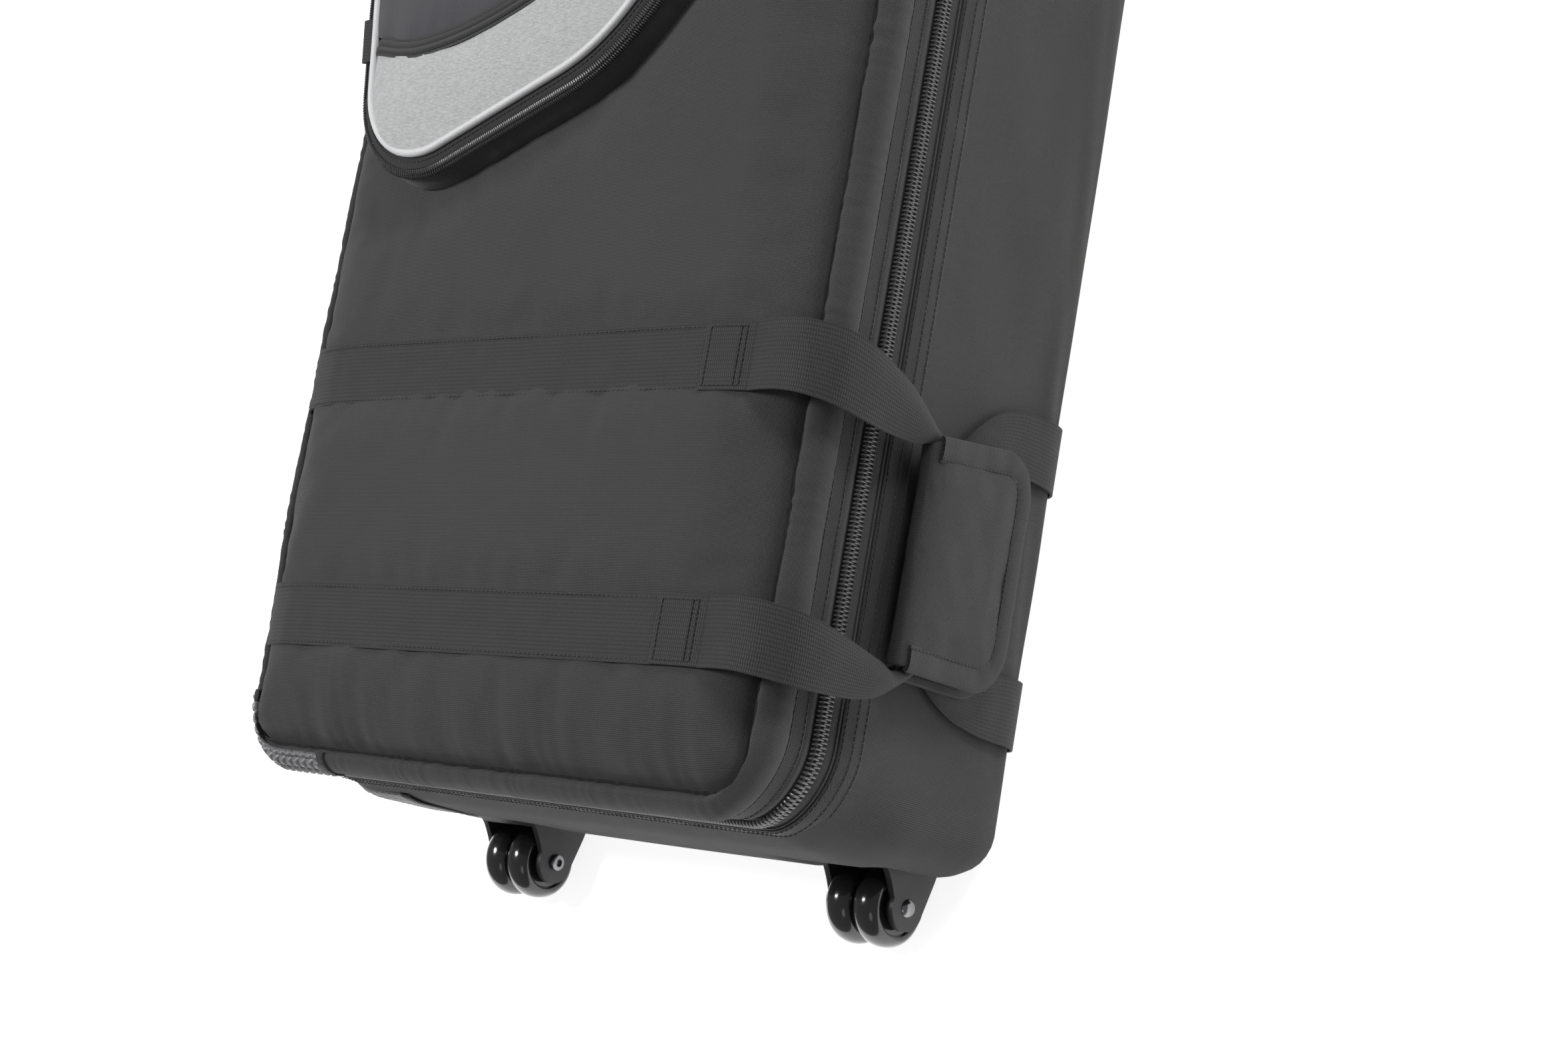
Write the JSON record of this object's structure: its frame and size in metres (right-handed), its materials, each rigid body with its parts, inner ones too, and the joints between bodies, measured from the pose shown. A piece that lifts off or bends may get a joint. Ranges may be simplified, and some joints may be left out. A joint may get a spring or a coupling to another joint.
{
  "type": "wheeled snowboard bag",
  "caption": "Long padded snowboard bag with a zipped lid, rigid wheel brackets at the foot end, webbing carry handles with padded grips and a front pocket.",
  "frame": {"origin": "middle of the bounding box, on the surface that the bag lies on with its back down", "axes": "+X along the bag from the wheel (foot) end to the head end, -Y towards the zipper and handle side, +Y towards the lid's hinge side, +Z from the back panel to the lid"},
  "size_m": [1.6684, 0.4594, 0.2572],
  "materials": {
    "shell_cloth": "matt woven charcoal polyester, fine oxford weave",
    "board": "plain polyethylene sheet",
    "tape_cloth": "black herringbone and twill tape",
    "coil_nylon": "black moulded nylon coil, satin gloss",
    "guard_rubber": "dark grey rubberised fabric with small raised pyramids",
    "black_plastic": "satin black moulded nylon",
    "wheel_plastic": "glossy black polyurethane",
    "steel": "bright zinc-plated steel",
    "dark_metal": "black enamelled metal",
    "webbing": "black polypropylene webbing with a coarse weave",
    "heather": "heather grey brushed cloth",
    "fleece": "dark napped fleece",
    "reflective": "silver grey reflective piping"
  },
  "bodies": {
    "base": {"base_wall": "shell_cloth", "back_panel": "shell_cloth", "hinge_strip": "shell_cloth", "stiffener_board": "board", "foot_end_plate": "board", "base_zip_tape": "tape_cloth", "base_band": "tape_cloth", "base_zip_coil": "coil_nylon", "base_scuff_guard": "guard_rubber", "wheel_bracket_right": "black_plastic", "wheel_bracket_left": "black_plastic", "axle_bolt_right": "steel", "axle_bolt_left": "steel", "axle_cap_right": "steel", "axle_cap_left": "steel", "bracket_screw_right_1": "dark_metal", "bracket_screw_right_2": "dark_metal", "bracket_screw_left_1": "dark_metal", "bracket_screw_left_2": "dark_metal", "back_strap_1": "webbing", "back_strap_2": "webbing", "back_strap_3": "webbing", "back_strap_4": "webbing"},
    "lid": {"lid_panel": "shell_cloth", "lid_wall": "shell_cloth", "lid_zip_tape": "tape_cloth", "lid_binding": "tape_cloth", "lid_zip_coil": "coil_nylon", "lid_scuff_guard": "guard_rubber", "front_strap_1": "webbing", "front_strap_2": "webbing", "front_strap_3": "webbing", "front_strap_4": "webbing", "pocket_wall": "shell_cloth", "pocket_zip_fixed": "coil_nylon"},
    "wheel_right_outer": {"wheel_right_outer": "wheel_plastic"},
    "wheel_right_inner": {"wheel_right_inner": "wheel_plastic"},
    "wheel_left_outer": {"wheel_left_outer": "wheel_plastic"},
    "wheel_left_inner": {"wheel_left_inner": "wheel_plastic"},
    "foot_handle": {"foot_front_loop": "webbing", "foot_grip": "shell_cloth"},
    "head_handle": {"head_front_loop": "webbing", "head_grip": "shell_cloth"},
    "foot_rear_loop": {"foot_rear_loop": "webbing"},
    "head_rear_loop": {"head_rear_loop": "webbing"},
    "main_slider_1": {"main_slider_1": "dark_metal"},
    "main_slider_2": {"main_slider_2": "dark_metal"},
    "main_pull_1": {"main_pull_1": "dark_metal"},
    "main_pull_2": {"main_pull_2": "dark_metal"},
    "pocket_cover": {"pocket_face": "heather", "pocket_upper_panel": "fleece", "pocket_piping": "reflective", "pocket_tape": "tape_cloth", "pocket_zip_cover": "coil_nylon", "pocket_inner_zip": "coil_nylon", "pocket_tab": "webbing"},
    "pocket_slider": {"pocket_slider": "dark_metal"},
    "pocket_pull": {"pocket_pull": "dark_metal"},
    "haul_handle": {"haul_loop": "webbing", "haul_grip": "black_plastic"}
  },
  "joints": [
    {"name": "lid_hinge", "type": "hinge", "parent": "base", "child": "lid", "pos_m": [0.02332, 0.2258, 0.168], "axis": [-1, 0, 0], "range_deg": [0, 115]},
    {"name": "wheel_right_outer_spin", "type": "hinge", "parent": "base", "child": "wheel_right_outer", "pos_m": [-0.81068, -0.14595, 0.024], "axis": [0, 1, 0], "continuous": true},
    {"name": "wheel_right_inner_spin", "type": "hinge", "parent": "base", "child": "wheel_right_inner", "pos_m": [-0.81068, -0.12545, 0.024], "axis": [0, 1, 0], "continuous": true},
    {"name": "wheel_left_outer_spin", "type": "hinge", "parent": "base", "child": "wheel_left_outer", "pos_m": [-0.81068, 0.16655, 0.024], "axis": [0, 1, 0], "continuous": true},
    {"name": "wheel_left_inner_spin", "type": "hinge", "parent": "base", "child": "wheel_left_inner", "pos_m": [-0.81068, 0.14605, 0.024], "axis": [0, 1, 0], "continuous": true},
    {"name": "foot_handle_swing", "type": "hinge", "parent": "lid", "child": "foot_handle", "pos_m": [-0.63268, -0.1697, 0.22868], "axis": [-1, 0, 0], "range_deg": [0, 80]},
    {"name": "foot_rear_loop_swing", "type": "hinge", "parent": "base", "child": "foot_rear_loop", "pos_m": [-0.63268, -0.1975, 0.004], "axis": [1, 0, 0], "range_deg": [0, 40]},
    {"name": "head_handle_swing", "type": "hinge", "parent": "lid", "child": "head_handle", "pos_m": [0.67932, -0.1697, 0.22868], "axis": [-1, 0, 0], "range_deg": [0, 80]},
    {"name": "head_rear_loop_swing", "type": "hinge", "parent": "base", "child": "head_rear_loop", "pos_m": [0.67932, -0.1975, 0.004], "axis": [1, 0, 0], "range_deg": [0, 40]},
    {"name": "main_slider_1_run", "type": "slide", "parent": "base", "child": "main_slider_1", "axis": [1, 0, 0], "range_m": [-0.5, 0]},
    {"name": "main_slider_2_run", "type": "slide", "parent": "base", "child": "main_slider_2", "axis": [1, 0, 0], "range_m": [0, 0.4]},
    {"name": "main_pull_1_flip", "type": "hinge", "parent": "main_slider_1", "child": "main_pull_1", "pos_m": [0.02332, -0.2104, 0.168], "axis": [0, 0, 1], "range_deg": [0, 150]},
    {"name": "main_pull_2_flip", "type": "hinge", "parent": "main_slider_2", "child": "main_pull_2", "pos_m": [0.10332, -0.2104, 0.168], "axis": [0, 0, -1], "range_deg": [0, 150]},
    {"name": "pocket_cover_hinge", "type": "hinge", "parent": "lid", "child": "pocket_cover", "pos_m": [-0.16668, 0.1968, 0.25], "axis": [-1, 0, 0], "range_deg": [0, 100]},
    {"name": "pocket_slider_run", "type": "slide", "parent": "lid", "child": "pocket_slider", "axis": [1, 0, 0], "range_m": [-0.09, 0.23]},
    {"name": "pocket_pull_flip", "type": "hinge", "parent": "pocket_slider", "child": "pocket_pull", "pos_m": [-0.11668, -0.1546, 0.2473], "axis": [0, 0, 1], "range_deg": [0, 150]},
    {"name": "haul_handle_swing", "type": "hinge", "parent": "base", "child": "haul_handle", "pos_m": [0.82932, 0.0103, 0.128], "axis": [0, -1, 0], "range_deg": [0, 150]}
  ],
  "couplings": [
    {"joint": "foot_rear_loop_swing", "follows": "foot_handle_swing", "ratio": 0.5},
    {"joint": "head_rear_loop_swing", "follows": "head_handle_swing", "ratio": 0.5}
  ]
}
